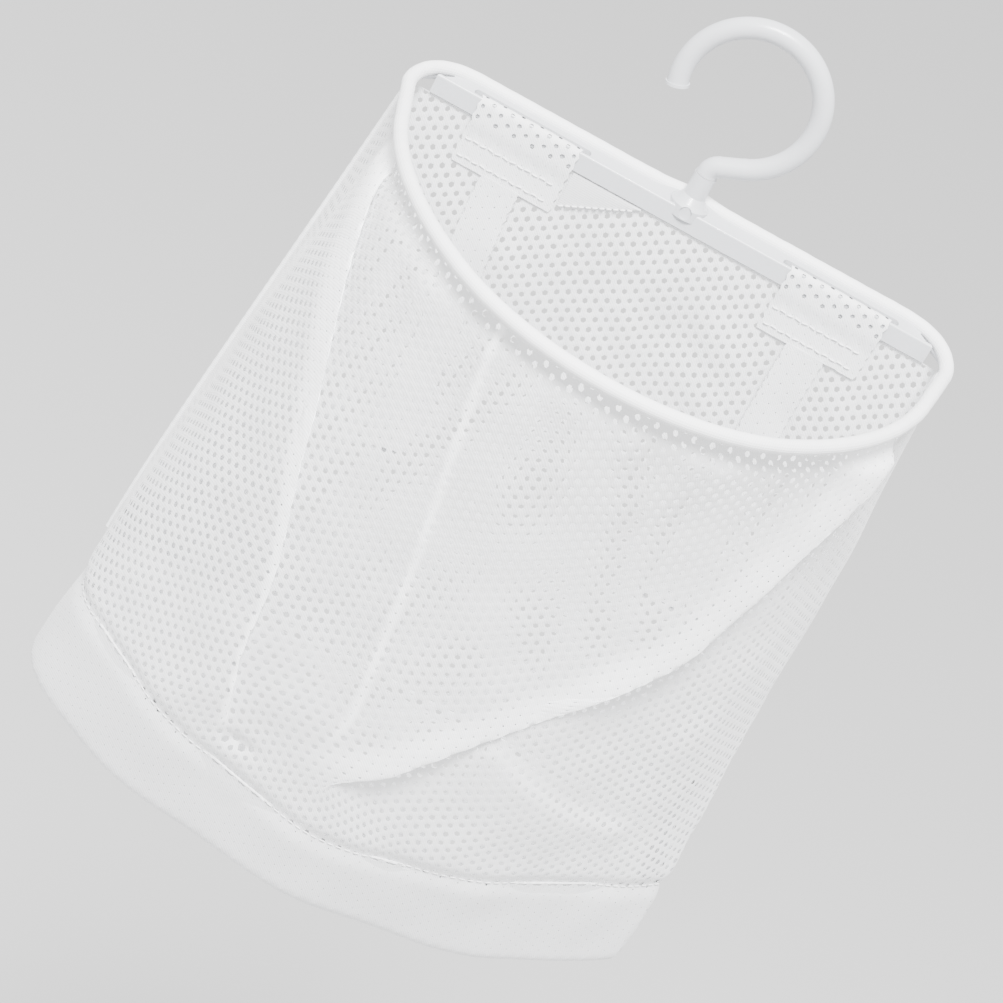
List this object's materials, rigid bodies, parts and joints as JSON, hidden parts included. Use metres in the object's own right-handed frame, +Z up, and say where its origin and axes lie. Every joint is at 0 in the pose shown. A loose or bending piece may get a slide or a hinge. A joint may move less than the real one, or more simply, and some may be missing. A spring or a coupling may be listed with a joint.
{
  "type": "mesh laundry bag",
  "caption": "Hanging net laundry bag with a D-shaped open mouth on a moulded hanger whose round hook swivels.",
  "frame": {"origin": "underside of the hook's crown, where it rests on a rail, on the swivel's axis", "axes": "+Z up, +X along the hanger's bar, -Y out through the rounded front of the mouth"},
  "size_m": [0.3258, 0.2159, 0.433],
  "materials": {
    "hook_plastic": "white polypropylene, moulded, satin",
    "hanger_plastic": "white polypropylene, moulded, satin",
    "net": "white polyester warp-knitted net with six-sided holes",
    "tape": "white woven polyester tape",
    "thread": "white polyester sewing thread"
  },
  "bodies": {
    "hook": {"hook": "hook_plastic"},
    "bag": {"hanger": "hanger_plastic", "mouth_binding": "tape", "front_wall": "net", "rear_wall": "net", "bottom_panel": "net", "foot_band": "net", "foot_seam": "thread", "side_seam_left": "tape", "side_seam_right": "tape", "rear_foot_seam": "tape", "tab_left": "net", "tab_right": "net", "tab_stitches_left": "thread", "tab_stitches_right": "thread", "strip_left": "net", "strip_right": "net", "hem_facing": "tape"}
  },
  "joints": [
    {"name": "hook_swivel", "type": "hinge", "parent": "hook", "child": "bag", "pos_m": [0, 0, -0.069], "axis": [0, 0, 1], "continuous": true}
  ]
}
